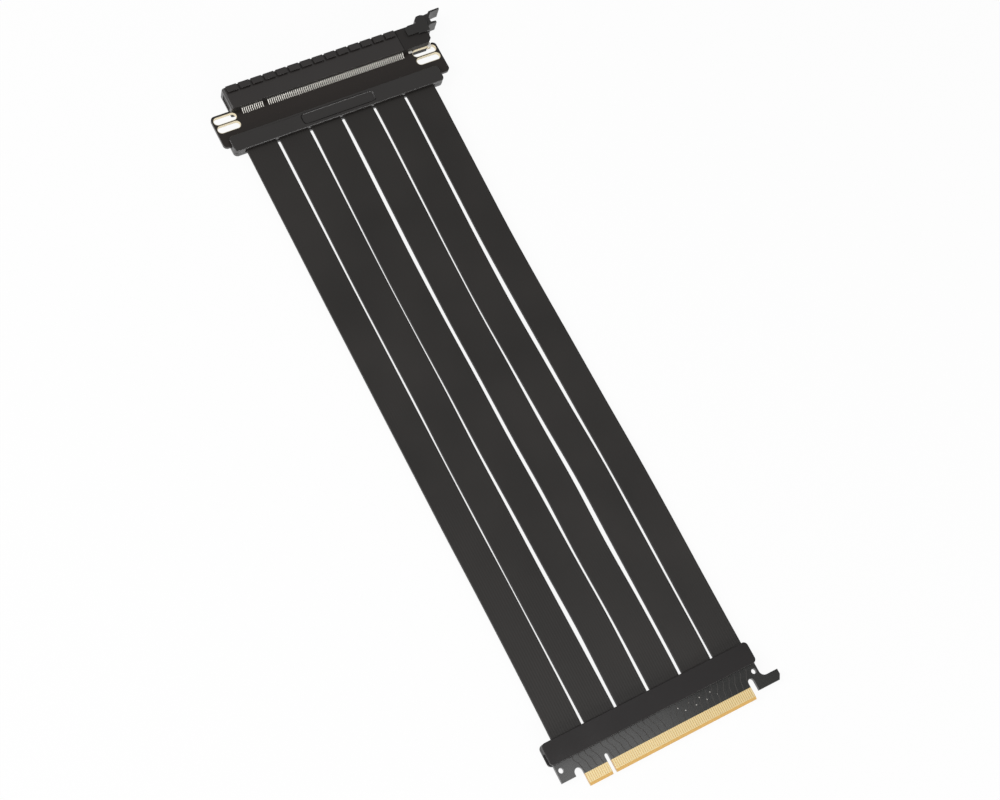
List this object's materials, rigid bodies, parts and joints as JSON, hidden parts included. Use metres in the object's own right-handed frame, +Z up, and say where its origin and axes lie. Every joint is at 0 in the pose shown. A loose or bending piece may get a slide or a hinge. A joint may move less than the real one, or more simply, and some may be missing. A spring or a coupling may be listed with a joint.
{
  "type": "gpu riser cable",
  "caption": "Flat graphics card riser: a card-edge head and a shielded slot head with a latch, joined by parallel black ribbons.",
  "frame": {"origin": "middle of the whole object's underside", "axes": "+X along both contact rows towards the latch, +Y from the card head to the slot head, +Z up"},
  "size_m": [0.126, 0.3562, 0.0103],
  "materials": {
    "black_plastic": "matt",
    "cover_plastic": "satin",
    "ribbon_skin": "satin",
    "board_mask": "gloss",
    "black_steel": "satin",
    "tin": "satin",
    "gold": "satin"
  },
  "bodies": {
    "cable": {"card_board": "board_mask", "card_cover_front": "cover_plastic", "card_cover_back": "cover_plastic", "card_earth_bar_front": "tin", "card_earth_bar_back": "tin", "finger_pads_front_short": "gold", "finger_pads_back_short": "gold", "finger_pads_front_long": "gold", "finger_pads_back_long": "gold", "slot_board": "board_mask", "slot_housing": "black_plastic", "slot_shield": "black_steel", "slot_cover_front": "cover_plastic", "slot_cover_back": "cover_plastic", "slot_earth_bar_front": "tin", "slot_earth_bar_back": "tin", "contacts_front_short": "tin", "contacts_back_short": "tin", "contacts_front_long": "tin", "contacts_back_long": "tin", "board_lock_1": "tin", "board_lock_2": "tin", "ribbon_1": "ribbon_skin", "ribbon_2": "ribbon_skin", "ribbon_3": "ribbon_skin", "ribbon_4": "ribbon_skin", "ribbon_5": "ribbon_skin", "ribbon_6": "ribbon_skin"},
    "latch": {"latch": "black_plastic"}
  },
  "joints": [
    {"name": "latch_pivot", "type": "hinge", "parent": "cable", "child": "latch", "pos_m": [0.04938, 0.1659, 0.00515], "axis": [0, 0, -1], "range_deg": [0, 20]}
  ]
}
